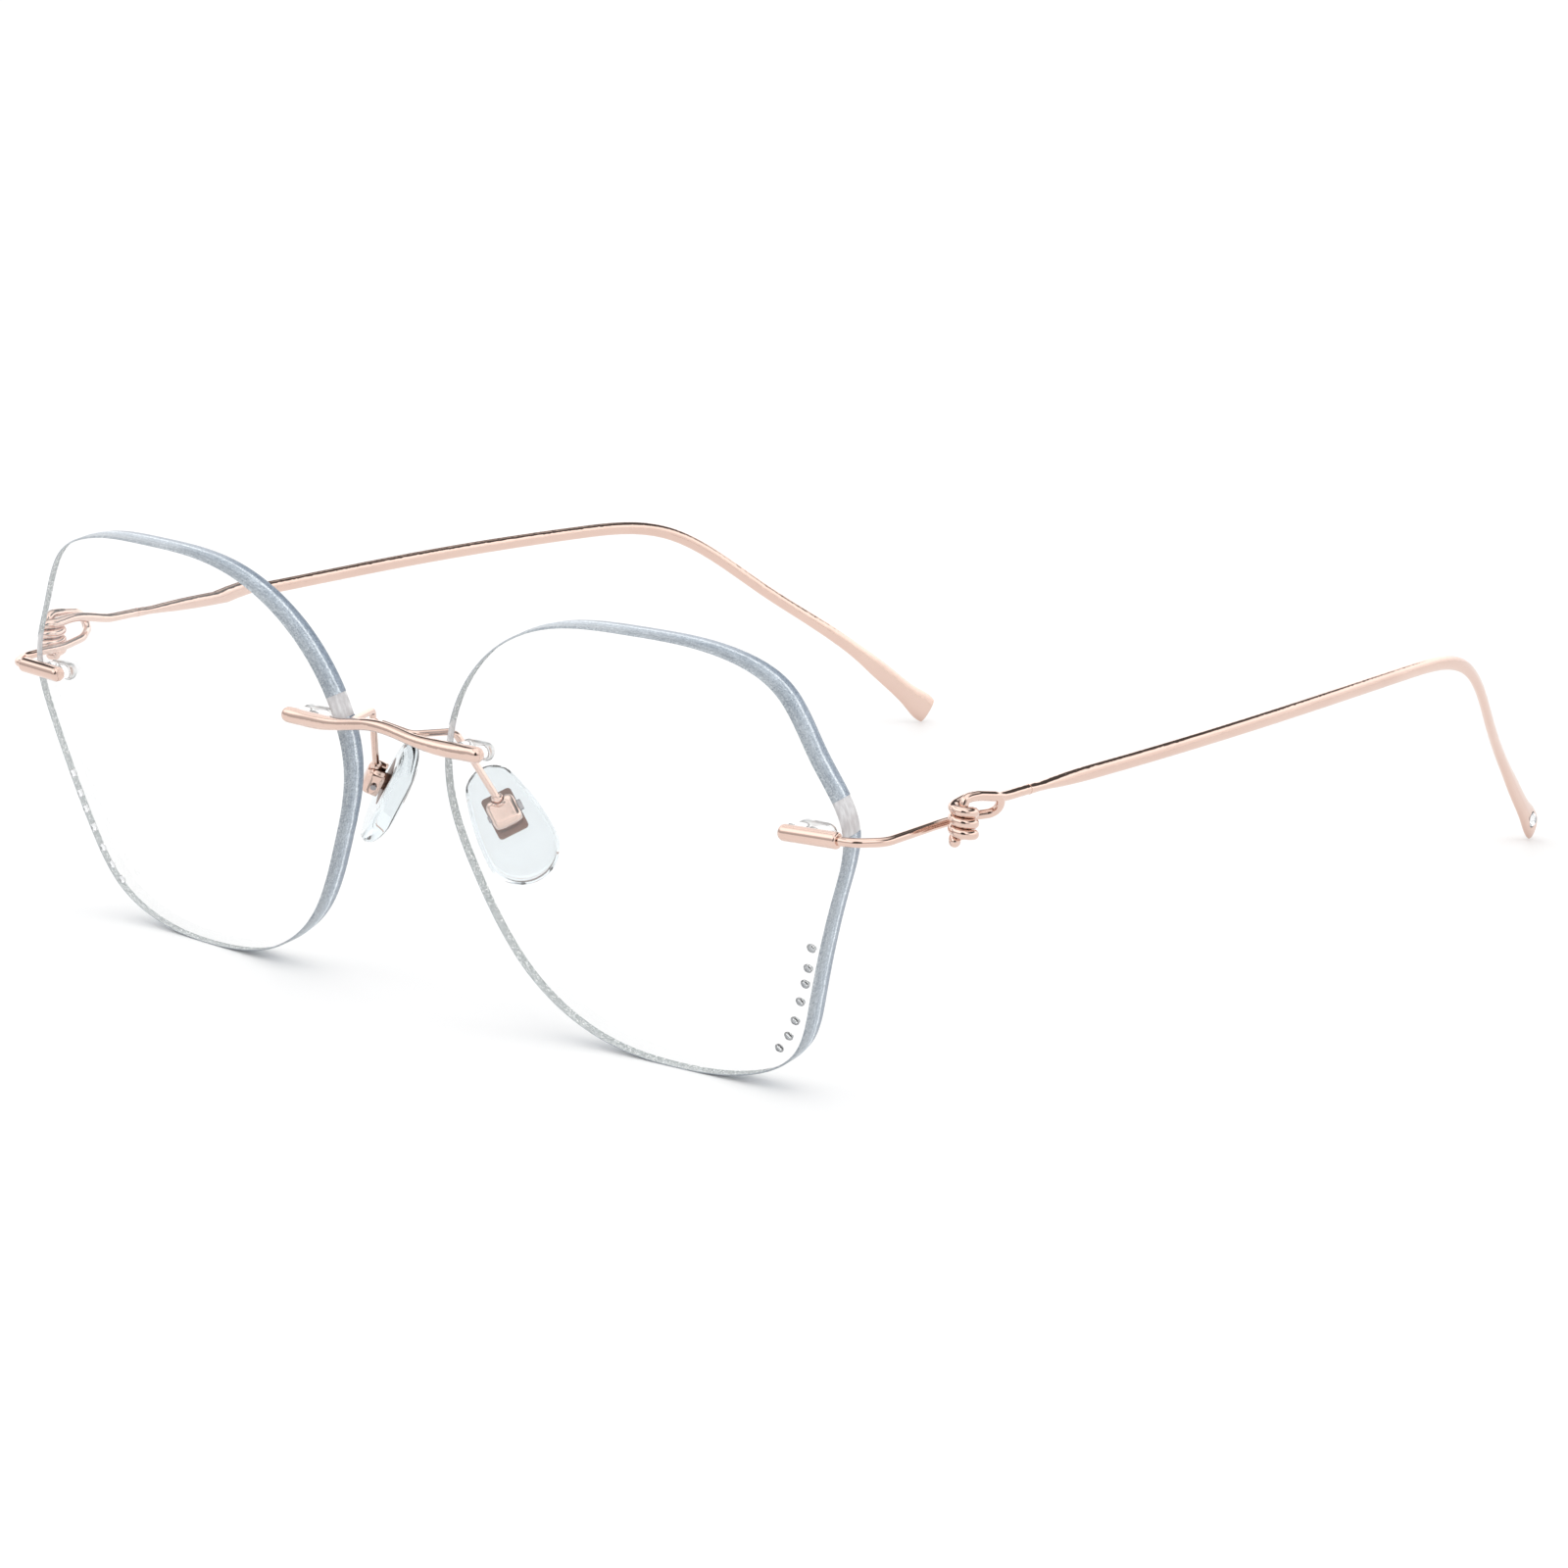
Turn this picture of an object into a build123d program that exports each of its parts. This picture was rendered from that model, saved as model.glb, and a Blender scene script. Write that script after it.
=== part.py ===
from build123d import *
import os
from math import sqrt

# Rimless eyeglasses with a lens width of 53, a bridge of 15 and temples of 145.
# X runs to the wearer's left, Y from the front of the lenses to the temple tips, Z up.
# The glasses stand on both lens bottoms and both temple tips, at Z = 0.
# Everything is first drawn with Y = 0 at the middle of the lens fronts, and each piece
# is moved by front_y as it is saved, so that the origin is the middle of the footprint.
front_y = -73.0

# Cutting tools reach this far past what they cut.
tool_reach = 6

# Lenses: outline points run anticlockwise round the left lens, outward then up.
lens_outline = [
    (25.8, 0), (27.4, 6.9), (24.3, 13.9), (20.4, 20.4), (13.6, 23.5), (3.2, 24.3),
    (-9.6, 23.1), (-18.4, 18.4), (-24.2, 10.3), (-25.5, 3.4), (-22.6, -6.1),
    (-16.3, -16.3), (-8.8, -21.1), (3, -22.8), (12.5, -21.75), (18.5, -18.5),
    (21.5, -12.4),
]
lens_centre = (33.2, 0, 22.14)
lens_tilt = 9.0
lens_wrap = 2.3
lens_radius = 138.6
lens_thickness = 2.84
lens_bevel = 0.3

# Two level pins hold each bar on its lens, in clear sleeves. The pins' middle is (X, Z).
pin_diameter = 0.9
pin_spacing = 2.4
pin_in_bar = 0.9
pin_below_end = 0.2
sleeve_diameter = 1.5
sleeve_below_front = 0.1
sleeve_into_lobe = 0.5
sleeve_lobe = 1.95
sleeve_back = 0.6
sleeve_rounding = 0.4
fit_gap = 0.02
nasal_pins = (12.2, 30.62)
temporal_pins = (56.1, 28.93)

# Crystals down the outer lower edge of each lens, on a line parallel to that edge.
crystal_diameter = 1.0
crystal_seat = 0.25
crystal_height = 0.3
crystal_places = [
    (22.6, -5.8), (21.9, -8.1), (21.3, -9.9), (20.4, -12.0), (19.4, -14.3),
    (18.3, -16.2), (16.9, -17.8),
]

# Bridge: half of its centre line, from the middle outward, and its thickness.
bridge_line = [
    (0, -1.9, 31.7), (2.5, -1.85, 31.5), (5, -1.85, 31.1), (8.2, -1.6, 30.75),
    (11.5, -1.15, 30.6), (14.05, -1.1, 30.65),
]
bar_diameter = 1.72
bridge_waist = 1.3

# Endpieces: a bar on the lens, and a wire that ends in a loop and the hinge pin.
bar_inner = (54.0, 0.9, 28.85)
bar_rounding = 0.6
bar_wire_rounding = 0.3
bar_outer = (61.05, 1.5, 29.0)
wire_diameter = 0.95
hinge_axis = (67.5, 12.7)
pin_top = 32.3
pin_bottom = 28.5
endpiece_line = [
    (60.2, 1.45, 28.98), (62.5, 1.75, 28.98), (64.55, 4.4, 28.92), (64.6, 12.0, 29.25),
    (65.4, 15.2, 29.6), (67.6, 17.8, 30.0), (68.5, 17.5, 31.85), (67.9, 14.5, 32.35),
]
endpiece_bends = [2.3, 3.0, 5.0, 2.5, 1.3, 1.3, 1.1, 0.8]

# Temples: a coil of three turns on the hinge pin, its ball end, and one long flattened wire.
coil_wire = 1.05
coil_pitch = 1.1
coil_turns = 3
coil_gap = 0.03
coil_top = 31.55
stub_drop = (0.22, -0.05, -0.32)
stub_bend = 0.3
stub_ball = 1.2
round_wire = [(66.5, 14.8, 31.85), (66.5, 19.2, 31.15)]
temple_line = [
    (66.55, 24.0, 31.05), (66.4, 38.7, 31.0), (65.8, 69.5, 31.3), (63.6, 95.3, 31.2),
    (61.3, 110.2, 29.3), (56.5, 123.4, 20.5), (51.7, 134.8, 12.1), (48.2, 147.4, 1.5),
]
tip_direction = (-3.2, 12.4, -9.7)
# Height and thickness of the wire at each share of its length, from the round end to the tip.
temple_sizes = [
    (0.0, 1.1, 1.1), (0.02, 1.15, 1.1), (0.07, 1.6, 1.0), (0.4, 1.65, 1.0), (0.62, 1.6, 1.0),
    (0.72, 1.55, 1.1), (0.8, 1.6, 1.15), (0.87, 1.8, 1.15), (0.94, 2.6, 1.1), (1.0, 3.5, 1.15),
]
temple_sections = 36
tip_crystal_diameter = 2.0
tip_crystal_from_end = 1.9
tip_crystal_seat = 0.3
tip_crystal_height = 0.5
tip_face_offset = 0.5

# Nose pads: the arm, the box that holds the pad, and the pad itself.
arm_diameter = 0.75
arm_line = [(0.5, -1.25, 31.9), (4.6, -1.0, 31.35), (7.2, 4.6, 31.2)]
arm_bends = [1.2, 0.8]
arm_ball = 1.3
arm_end = (0, 2.5, 2.3)
pad_centre = (10.03, 9.27, 21.18)
pad_down = (0.588, 0.031, -0.808)
pad_front = (0.598, -0.689, 0.410)
pad_length = 13.5
pad_width = 7.7
pad_top_radius = 2.75
pad_thickness = 2.7
pad_dome = 2.0
pad_front_rounding = 0.5
pad_front_face = 0.6
box_width = 3.1
box_height = 3.2
box_wall = 0.4
box_gap = 0.35
box_depth = 2.05
box_up = 1.0
box_pocket = 1.7
box_corner = 0.8
box_notch = 0.75
screw_diameter = 0.7
screw_past_box = 0.25
screw_head = 1.2
screw_head_height = 0.45
screw_slot_width = 0.2
screw_slot_depth = 0.15
screw_out = 1.75
screw_fit = 0.03
lug_width = 1.35
lug_radius = 0.65
lug_into_plate = 0.1
plate_up = 1.1
plate_length = 4.7
plate_width = 3.3
plate_corner = 0.4
plate_thickness = 0.45


def lens_plane():
    """Middle of the left lens front, with x outward, y up and z straight ahead."""
    outward = Vector(1, 0, 0).rotate(Axis.Z, lens_wrap)
    ahead = Vector(0, -1, 0).rotate(Axis.X, lens_tilt).rotate(Axis.Z, lens_wrap)
    return Plane(origin=lens_centre, x_dir=outward, z_dir=ahead)


def dome(radius):
    """Ball about the lens's centre of curvature, with its poles above and below the lens."""
    centre = lens_plane().from_local_coords(Vector(0, 0, -lens_radius))
    return Pos(centre) * Sphere(radius)


def lens_place(outward, up):
    """Place on the lens front, measured along the outline's own axes."""
    depth = sqrt(lens_radius**2 - outward**2 - up**2) - lens_radius
    return lens_plane() * Pos(outward, up, depth)


def front_y_at(x, z):
    """Y of the lens front straight behind a point of the bars."""
    centre = lens_plane().from_local_coords(Vector(0, 0, -lens_radius))
    return centre.Y - sqrt(lens_radius**2 - (x - centre.X) ** 2 - (z - centre.Z) ** 2)


def pin_places(middle):
    """X and Z of both pins of a bar, side by side about their middle."""
    half = pin_spacing / 2
    return [(middle[0] - half, middle[1]), (middle[0] + half, middle[1])]


def level_rod(place, diameter, ahead, behind):
    """Level rod through the lens, from ahead of its front to behind it."""
    middle = front_y_at(*place) + (behind - ahead) / 2
    rod = Cylinder(diameter / 2, ahead + behind, rotation=(90, 0, 0))
    return Pos(place[0], middle, place[1]) * rod


def lens():
    outline = Spline(*lens_outline, periodic=True)
    blank = lens_plane() * extrude(make_face(outline), 2 * tool_reach, both=True)
    blank = blank & dome(lens_radius)
    blank = blank - dome(lens_radius - lens_thickness)
    body = chamfer(blank.edges().sort_by(SortBy.LENGTH)[-2:], lens_bevel)
    for place in pin_places(nasal_pins) + pin_places(temporal_pins):
        body = body - level_rod(place, sleeve_diameter + 2 * fit_gap, tool_reach, tool_reach)
    for place in crystal_places:
        body = body - lens_place(*place) * Cylinder(crystal_diameter / 2 + fit_gap, 2 * crystal_seat)
    return body


def crystal(diameter, depth, height):
    """Flat-backed stone standing on z = 0 with its cut face up."""
    girdle = Cylinder(diameter / 2, depth, align=(Align.CENTER, Align.CENTER, Align.MIN))
    crown = Cone(
        diameter / 2, diameter / 4, height, align=(Align.CENTER, Align.CENTER, Align.MIN)
    )
    return girdle + Pos(0, 0, depth) * crown


def lens_crystals():
    stones = []
    for place in crystal_places:
        seat = lens_place(*place) * Pos(0, 0, -crystal_seat)
        stones.append(seat * crystal(crystal_diameter, crystal_seat, crystal_height))
    return stones


def sleeve(middle):
    """Two tubes through the lens, joined by a double-lobed pad behind it."""
    back = front_y_at(*middle) + lens_thickness + sleeve_back
    outline = Plane.XZ * SlotCenterToCenter(pin_spacing, sleeve_lobe)
    body = extrude(Pos(middle[0], back, middle[1]) * outline, tool_reach)
    body = body & dome(lens_radius - lens_thickness)
    body = fillet(body.faces().sort_by(Axis.Y)[-1].edges(), sleeve_rounding)
    for place in pin_places(middle):
        behind = lens_thickness + sleeve_into_lobe
        body = body + level_rod(place, sleeve_diameter, -sleeve_below_front, behind)
    for place in pin_places(middle):
        body = body - level_rod(place, pin_diameter + 2 * fit_gap, tool_reach, tool_reach)
    return body


def pins(middle, bar):
    """Both pins of a bar, from the bar's back to just inside the end of the sleeve."""
    rods = []
    for place in pin_places(middle):
        behind = lens_thickness + sleeve_back - pin_below_end
        rod = level_rod(place, pin_diameter, pin_in_bar, behind)
        rods.append((rod - bar).solids().sort_by(Axis.Y)[-1])
    return rods


def tapered_wire(path, sizes, sections):
    """Loft along a path. Sizes hold the share of the length, the height and the thickness."""
    faces = []
    for number in range(sections + 1):
        share = number / sections
        height, thickness = size_at(sizes, share)
        along = path % share
        side = Vector(-along.Y, along.X, 0).normalized() * -1
        plane = Plane(origin=path @ share, x_dir=side, z_dir=along)
        faces.append(plane * make_face(Ellipse(thickness / 2, height / 2).edges()))
    return loft(faces)


def size_at(sizes, share):
    """Height and thickness at a share of the length, eased between the listed places."""
    for before, after in zip(sizes, sizes[1:]):
        if share <= after[0]:
            part = (share - before[0]) / (after[0] - before[0])
            ease = part * part * (3 - 2 * part)
            height = before[1] + (after[1] - before[1]) * ease
            thickness = before[2] + (after[2] - before[2]) * ease
            return height, thickness
    return sizes[-1][1:]


def bridge():
    """One wire from bar to bar, thinner in the middle, flat where it rests on the lenses."""
    right = [(-x, y, z) for x, y, z in reversed(bridge_line[1:])]
    path = Spline(*right, *bridge_line)
    sizes = [
        (0, bar_diameter, bar_diameter), (0.14, bar_diameter, bar_diameter),
        (0.34, bridge_waist, bridge_waist), (0.66, bridge_waist, bridge_waist),
        (0.86, bar_diameter, bar_diameter), (1, bar_diameter, bar_diameter),
    ]
    body = tapered_wire(path, sizes, 16)
    for end in (path @ 0, path @ 1):
        body = body + Pos(end) * Sphere(bar_diameter / 2)
    left_dome = dome(lens_radius)
    return body - left_dome - mirror(left_dome, about=Plane.YZ)


def endpiece():
    """Bar, wire, loop and hinge pin, bent from one wire."""
    direction = Vector(*bar_outer) - Vector(*bar_inner)
    bar_plane = Plane(origin=bar_inner, z_dir=direction)
    bar = bar_plane * Cylinder(
        bar_diameter / 2, direction.length, align=(Align.CENTER, Align.CENTER, Align.MIN)
    )
    bar = fillet(bar.edges().filter_by(GeomType.CIRCLE).group_by(Axis.X)[0], bar_rounding)
    bar = fillet(bar.edges().filter_by(GeomType.CIRCLE).group_by(Axis.X)[-1], bar_wire_rounding)
    bar = bar - dome(lens_radius)
    top = (hinge_axis[0], hinge_axis[1], pin_top)
    bottom = (hinge_axis[0], hinge_axis[1], pin_bottom)
    path = FilletPolyline(*endpiece_line, top, bottom, radius=endpiece_bends)
    start = Plane(origin=path @ 0, z_dir=path % 0)
    wire = sweep(start * Circle(wire_diameter / 2), path)
    return bar + wire


def temple_path():
    """Centre line of the flattened wire, from behind the knot to the tip."""
    level = Vector(*temple_line[1]) - Vector(*temple_line[0])
    return Spline(*temple_line, tangents=[level, Vector(*tip_direction)])


def coil_line():
    """Centre line of the round wire: stub end, three turns, and the run to the flattened wire."""
    radius = wire_diameter / 2 + coil_gap + coil_wire / 2
    height = coil_pitch * coil_turns
    low_end = Pos(*hinge_axis, coil_top - height) * Rot(0, 0, 180)
    turns = low_end * Helix(coil_pitch, height, radius, lefthand=True)
    corner = turns @ 0 - (turns % 0) * stub_bend
    stub = FilletPolyline(turns @ 0, corner, corner + Vector(*stub_drop), radius=stub_bend)
    flat = temple_path()
    run = Spline(turns @ 1, *round_wire, flat @ 0, tangents=[turns % 1, flat % 0])
    inside = Line(flat @ 0, flat @ 0 + flat % 0)
    return Wire(stub.edges() + turns.edges() + run.edges() + inside.edges())


def temple():
    """Coil, its ball end, shaft and flat end in one piece, with a seat for the stone outside."""
    line = coil_line()
    body = sweep(Plane(origin=line @ 0, z_dir=line % 0) * Circle(coil_wire / 2), line)
    body = body + tapered_wire(temple_path(), temple_sizes, temple_sections)
    body = body + Pos(line @ 1) * Sphere(stub_ball / 2)
    under_tip = Align.CENTER, Align.CENTER, Align.MAX
    ground = Pos(*temple_line[-1][:2]) * Box(8 * tool_reach, 6 * tool_reach, tool_reach, align=under_tip)
    seat = Cylinder(tip_crystal_diameter / 2 + fit_gap, 2 * tip_crystal_seat)
    return body - ground - tip_stone_place() * seat


def tip_stone_place():
    """Middle of the stone's seat in the outer face of the temple's flat end."""
    path = temple_path()
    share = 1 - tip_crystal_from_end / path.length
    along = path % share
    outward = Vector(along.Y, -along.X, 0).normalized()
    face = path @ share + outward * tip_face_offset
    return Plane(origin=face, z_dir=outward, x_dir=along).location


def tip_crystal():
    stone = crystal(tip_crystal_diameter, tip_crystal_seat, tip_crystal_height)
    return tip_stone_place() * Pos(0, 0, -tip_crystal_seat) * stone


def pad_plane():
    """Middle of the left nose pad, with x to its side, y up and z towards the front."""
    front = Vector(*pad_front).normalized()
    down = Vector(*pad_down)
    side = (down * -1).cross(front)
    return Plane(origin=pad_centre, x_dir=side, z_dir=front)


def pad_arm(bridge_body, box):
    """Wire brazed along the back of the bridge, bent back and down to the pad box."""
    end = pad_plane().from_local_coords(Vector(*arm_end))
    path = FilletPolyline(*arm_line, end, radius=arm_bends)
    wire = sweep(Plane(origin=path @ 0, z_dir=path % 0) * Circle(arm_diameter / 2), path)
    arm = wire + Pos(end) * Sphere(arm_ball / 2)
    return arm - bridge_body - box


def pad_box():
    """Box open towards the pad, with a notch for the arm and a hole for the screw."""
    middle = pad_front_face + box_gap + box_depth / 2
    shell = Box(box_width, box_height, box_depth)
    shell = fillet(shell.edges().filter_by(Axis.Z), box_corner)
    shell = fillet(shell.faces().sort_by(Axis.Z)[-1].edges(), box_wall)
    pocket = Box(box_pocket, box_height - 2 * box_wall, box_depth)
    notch = Pos(0, box_height / 2) * Cylinder(box_notch, 2 * box_depth)
    shell = Pos(0, box_up, middle) * (shell - Pos(0, 0, -box_wall) * pocket - notch)
    hole = Cylinder(screw_diameter / 2 + fit_gap, 3 * box_width, rotation=(0, 90, 0))
    return pad_plane() * (shell - Pos(0, box_up, screw_out) * hole)


def pad_screw():
    """Slotted screw through the box and the pad's lug."""
    sideways = (0, 90, 0)
    shank = Cylinder(screw_diameter / 2, box_width + screw_past_box, rotation=sideways)
    head = Cylinder(screw_head / 2, screw_head_height, rotation=sideways)
    head = fillet(head.faces().sort_by(Axis.X)[-1].edges(), screw_slot_depth)
    slot = Box(2 * screw_slot_depth, screw_head, screw_slot_width)
    head = head - Pos(screw_head_height / 2) * slot
    screw = Pos(-screw_past_box / 2) * shank + Pos((box_width + screw_head_height) / 2) * head
    return pad_plane() * Pos(0, box_up, screw_out) * screw


def pad_insert():
    """Plate set in the front of the pad, with a lug that turns on the screw."""
    plate = extrude(RectangleRounded(plate_width, plate_length, plate_corner), -plate_thickness)
    plate = Pos(0, plate_up, pad_front_face) * plate
    lug = Cylinder(lug_radius, lug_width, rotation=(0, 90, 0))
    reach = screw_out - pad_front_face + lug_into_plate
    lug = lug + Pos(0, 0, -reach / 2) * Box(lug_width, 2 * lug_radius, reach)
    lug = lug - Cylinder(screw_diameter / 2 + screw_fit, 2 * lug_width, rotation=(0, 90, 0))
    return pad_plane() * (plate + Pos(0, box_up, screw_out) * lug)


def pad_outline():
    """Egg shape about the middle of its low round end: two long arcs meet both round ends."""
    low = pad_width / 2
    top = pad_top_radius
    height = pad_length - low - top
    side = (low + top + height**2 / (low - top)) / 2
    reach = top / (side - top)
    meet = Vector((side - low) * reach, height + height * reach)
    long_arc = TangentArc((low, 0), meet, tangent=(0, 1))
    top_arc = ThreePointArc(meet, (0, height + top), (-meet.X, meet.Y))
    low_arc = ThreePointArc((-low, 0), (0, -low), (low, 0))
    other_arc = mirror(long_arc, about=Plane.YZ)
    return make_face(long_arc.edges() + top_arc.edges() + other_arc.edges() + low_arc.edges())


def nose_pad(insert):
    """Clear egg-shaped pad, fuller at the bottom, with a flat front and a domed back."""
    outline = Pos(0, pad_width / 2 - pad_length / 2) * pad_outline()
    body = Pos(0, 0, pad_front_face) * extrude(outline, -pad_thickness)
    body = fillet(body.faces().sort_by(Axis.Z)[0].edges(), pad_dome)
    body = fillet(body.faces().sort_by(Axis.Z)[-1].edges(), pad_front_rounding)
    return pad_plane() * body - insert


def save(name, pieces):
    """Write one node, moved so that the footprint is centred on the origin."""
    if not isinstance(pieces, list):
        pieces = [pieces]
    solids = [solid for piece in pieces for solid in piece.solids()]
    placed = [Pos(0, front_y, 0) * solid for solid in solids]
    export_step(Compound(children=placed) if len(placed) > 1 else placed[0], f"parts/{name}.step")


def save_pair(name, pieces):
    """Write the left piece and its mirror image on the right."""
    if not isinstance(pieces, list):
        pieces = [pieces]
    save(f"{name}_left", pieces)
    save(f"{name}_right", [mirror(piece, about=Plane.YZ) for piece in pieces])


os.makedirs("parts", exist_ok=True)
save_pair("lens", lens())
save_pair("rhinestones", lens_crystals())
the_bridge = bridge()
save("bridge", the_bridge)
save_pair("bridge_pins", pins(nasal_pins, the_bridge))
save_pair("sleeve_nasal", sleeve(nasal_pins))
save_pair("sleeve_temporal", sleeve(temporal_pins))
the_endpiece = endpiece()
save_pair("endpiece", the_endpiece)
save_pair("endpiece_pins", pins(temporal_pins, the_endpiece))
save_pair("temple", temple())
save_pair("tip_crystal", tip_crystal())
the_box = pad_box()
the_insert = pad_insert()
save_pair("pad_arm", pad_arm(the_bridge, the_box))
save_pair("pad_box", the_box)
save_pair("pad_screw", pad_screw())
save_pair("pad_insert", the_insert)
save_pair("nose_pad", nose_pad(the_insert))
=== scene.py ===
"""Rimless eyeglasses on a white floor: clear lenses with glittering painted edges, rose gold wire,
cut stones and clear nose pads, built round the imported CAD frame. Metres, +X to the wearer's left."""

import math

import bmesh
import bpy
import numpy as np
from mathutils import Matrix, Vector

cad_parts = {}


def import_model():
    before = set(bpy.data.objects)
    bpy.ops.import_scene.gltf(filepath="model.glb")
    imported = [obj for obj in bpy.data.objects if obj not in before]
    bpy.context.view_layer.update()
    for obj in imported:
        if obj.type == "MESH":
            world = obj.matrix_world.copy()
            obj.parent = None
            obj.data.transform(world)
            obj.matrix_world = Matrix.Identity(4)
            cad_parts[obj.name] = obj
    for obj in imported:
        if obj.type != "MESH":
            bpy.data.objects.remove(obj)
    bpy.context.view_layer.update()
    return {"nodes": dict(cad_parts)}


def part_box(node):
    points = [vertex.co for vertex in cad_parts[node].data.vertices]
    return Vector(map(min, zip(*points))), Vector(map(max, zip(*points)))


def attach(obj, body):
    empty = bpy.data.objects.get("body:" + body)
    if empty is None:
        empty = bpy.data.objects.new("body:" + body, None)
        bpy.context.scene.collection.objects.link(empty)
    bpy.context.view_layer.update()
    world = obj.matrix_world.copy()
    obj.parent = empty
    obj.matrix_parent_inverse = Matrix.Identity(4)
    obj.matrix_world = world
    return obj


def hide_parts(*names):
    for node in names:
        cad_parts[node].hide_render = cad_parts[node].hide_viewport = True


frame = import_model()
nodes = frame["nodes"]
MM = 0.001
SIDES = {"left": 1, "right": -1}

# Lens: its plane, its domes and the two bevels of its edge.
LENS_CENTRE = Vector((33.2, -73.0, 22.14)) * MM
LENS_TILT = math.radians(9.0)
LENS_WRAP = math.radians(2.3)
LENS_RADIUS = 138.6 * MM
LENS_THICKNESS = 2.84 * MM
PAINT_THICKNESS = 0.03 * MM
PAINT_DEPTH = 0.8 * PAINT_THICKNESS  # the rest is a gap over the ground coat
FRONT_BEVEL = (0.15 * MM, 0.12 * MM)  # inward, backward
REAR_BEVEL = (0.2 * MM, 1.0 * MM)
FRONT_EASE = 0.06 * MM
REAR_EASE = 0.25 * MM
LENS_STEPS = 420
LENS_RINGS = 18
SPLINE_STEPS = 120
CORNER_STEPS = 6
HARD_EDGE = 22  # degrees between two faces that meet in a hard line
# Corners of its outline, outward and up from its centre, which a closed spline runs through.
LENS_OUTLINE = [
    (25.8, 0), (27.4, 6.9), (24.3, 13.9), (20.4, 20.4), (13.6, 23.5), (3.2, 24.3), (-9.6, 23.1),
    (-18.4, 18.4), (-24.2, 10.3), (-25.5, 3.4), (-22.6, -6.1), (-16.3, -16.3), (-8.8, -21.1), (3, -22.8),
    (12.5, -21.75), (18.5, -18.5), (21.5, -12.4),
]

# Bare stretches of the edge, above each bar, as heights over the lens centre.
NASAL_GAP = (8.3 * MM, 10.7 * MM)
TEMPORAL_GAP = (6.2 * MM, 9.7 * MM)

# Holes for the sleeves and seats for the small stones.
SLEEVE_HOLE = 0.77 * MM
DRILL_OVERSHOOT = 4 * MM
SEAT_RADIUS = 0.52 * MM
SEAT_DEPTH = 0.25 * MM

# Cut stones: radius, height over their place and depth under it, and their number of sides.
SMALL_STONE = {"radius": 0.48 * MM, "height": 0.3 * MM, "depth": 0.24 * MM, "sides": 8}
TIP_STONE = {"radius": 0.98 * MM, "height": 0.5 * MM, "depth": 0.3 * MM, "sides": 12}

# Nose pad: its plane and its egg-shaped outline.
PAD_CENTRE = Vector((10.03, -63.73, 21.18)) * MM
PAD_DOWN = Vector((0.588, 0.031, -0.808))
PAD_FRONT = Vector((0.598, -0.689, 0.410))
PAD_LENGTH = 13.5 * MM
PAD_WIDTH = 7.7 * MM
PAD_TOP_RADIUS = 2.75 * MM
PAD_THICKNESS = 2.7 * MM
PAD_FRONT_FACE = 0.58 * MM
PAD_STEPS = 96
# Its rings from front to back, as shares of its outline and of its thickness.
PAD_PROFILE = [
    (0.5, 0.0), (0.84, 0.0), (0.92, 0.03), (0.972, 0.11), (0.996, 0.22), (0.999, 0.34),
    (0.98, 0.49), (0.92, 0.65), (0.81, 0.79), (0.66, 0.9), (0.45, 0.97), (0.22, 1.0),
]

# The box on the pad's front, from the pad's middle: how far up, its size, and what is cut from it.
BOX_UP = 1.0 * MM
BOX_SIZE = (3.1 * MM, 3.2 * MM)
BOX_SQUARENESS = 5
BOX_POCKET = 1.7 * MM
BOX_WALLS = 0.8 * MM
POCKET_SQUARENESS = 8
BOX_NOTCH = 0.75 * MM
SCREW_OUT = 1.75 * MM
SCREW_HOLE = 0.37 * MM
BOX_HARD_EDGE = 35
# The rings of the box and of its pocket, from back to front: shares of their outlines, and millimetres ahead.
BOX_PROFILE = [
    (0.97, 0.97), (1.0, 1.05), (1.0, 2.0), (0.985, 2.3), (0.95, 2.5), (0.88, 2.68), (0.77, 2.82),
    (0.6, 2.92), (0.4, 2.97), (0.2, 2.99),
]
POCKET_PROFILE = [(1.0, 0.8), (1.0, 2.3), (0.9, 2.5), (0.5, 2.6)]

# How drawn out the streaks in the paint are, and how many cells of each noise a metre holds.
STREAK_LENGTH = 4.0 * MM
STREAK_WIDTH = 0.3 * MM
STREAK_TONES = [(0.3, (0.78, 0.8, 0.83)), (0.5, (0.98, 0.98, 0.99)), (0.7, (1.2, 1.18, 1.16))]
BAND_WAVER = 0.08
TONE_NOISE = 90.0
POLISH_NOISE = 160.0
RUBBED_NOISE = 420.0
WAVER_NOISE = 480.0
SCRATCH_NOISE = 1500.0
WHEEL_NOISE = 2400.0

# The tent: how bright it lights, and what mirrors see at each height (sine of elevation), as half strengths.
TENT_STRENGTH = 1.21
BEHIND = [
    (-1.0, 0.54), (-0.1, 0.55), (0.1, 0.62), (0.2, 0.72), (0.34, 0.84), (0.42, 0.78), (0.47, 0.35),
    (0.52, 0.05), (0.69, 0.04), (0.77, 0.26), (0.85, 0.5), (1.0, 0.52),
]
BEFORE = [
    (-1.0, 0.54), (-0.25, 0.54), (-0.12, 0.38), (0.0, 0.3), (0.3, 0.33), (0.42, 0.52), (0.5, 0.84),
    (0.74, 0.88), (0.84, 0.5), (1.0, 0.48),
]
# The depths (Y of the direction) over which one gives way to the other.
BEFORE_TO_BEHIND = (-0.2, 0.12)
# How much of the mirrored picture is seen through clear pieces.
SEEN_THROUGH = 0.06
# Where the camera's dark stand is mirrored: direction, squash of its height, and the reach of its fade.
DARK_SPOT = (0.625, -0.712, 0.32)
DARK_SPOT_SQUASH = 0.42
DARK_SPOT_EDGE = (0.25, 0.36)

# ---------------------------------------------------------------- node helpers

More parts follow.
